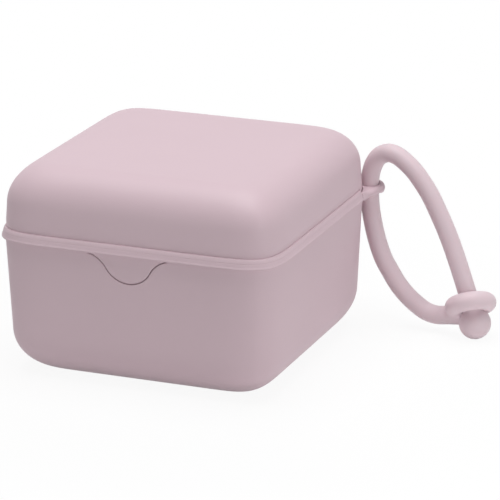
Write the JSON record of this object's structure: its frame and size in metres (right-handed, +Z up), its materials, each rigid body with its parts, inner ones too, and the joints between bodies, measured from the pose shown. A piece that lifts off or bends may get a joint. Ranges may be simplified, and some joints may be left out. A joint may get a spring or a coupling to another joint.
{
  "type": "pacifier steriliser case",
  "caption": "Square soft-cornered steriliser case with a hinged lid, a bell-shaped opening tab, a lift-out steaming rack and a looped carrying strap that ends in a ring and a ball.",
  "frame": {"origin": "middle of the flat rest face under the base", "axes": "+Z up; the front with the opening tab faces -Y; +X to the right seen from the front; the hinge is at the back, +Y"},
  "size_m": [0.1375, 0.1003, 0.0674],
  "materials": {
    "base": "dusty pink polypropylene, fine satin moulding texture",
    "lid": "dusty pink polypropylene, fine satin moulding texture",
    "pin": "moulded acetal, no metal because the case goes into a microwave",
    "rack": "pale polypropylene, satin",
    "strap": "soft matte silicone rubber"
  },
  "bodies": {
    "base": {"base_shell": "base", "hinge_pin_left": "pin", "hinge_pin_right": "pin"},
    "lid": {"lid_shell": "lid"},
    "rack": {"steaming_rack": "rack"},
    "strap": {"strap_cord": "strap", "strap_ring": "strap", "strap_ball": "strap"}
  },
  "joints": [
    {"name": "lid_hinge", "type": "hinge", "parent": "base", "child": "lid", "pos_m": [0, 0.0496, 0.0506], "axis": [-1, 0, 0], "range_deg": [0, 110]},
    {"name": "rack_lift", "type": "slide", "parent": "base", "child": "rack", "axis": [0, 0, 1], "range_m": [0, 0.025]},
    {"name": "strap_swing", "type": "hinge", "parent": "base", "child": "strap", "pos_m": [0.04508, 0.04508, 0.045], "axis": [0, 0, 1], "range_deg": [-15, 20]}
  ]
}
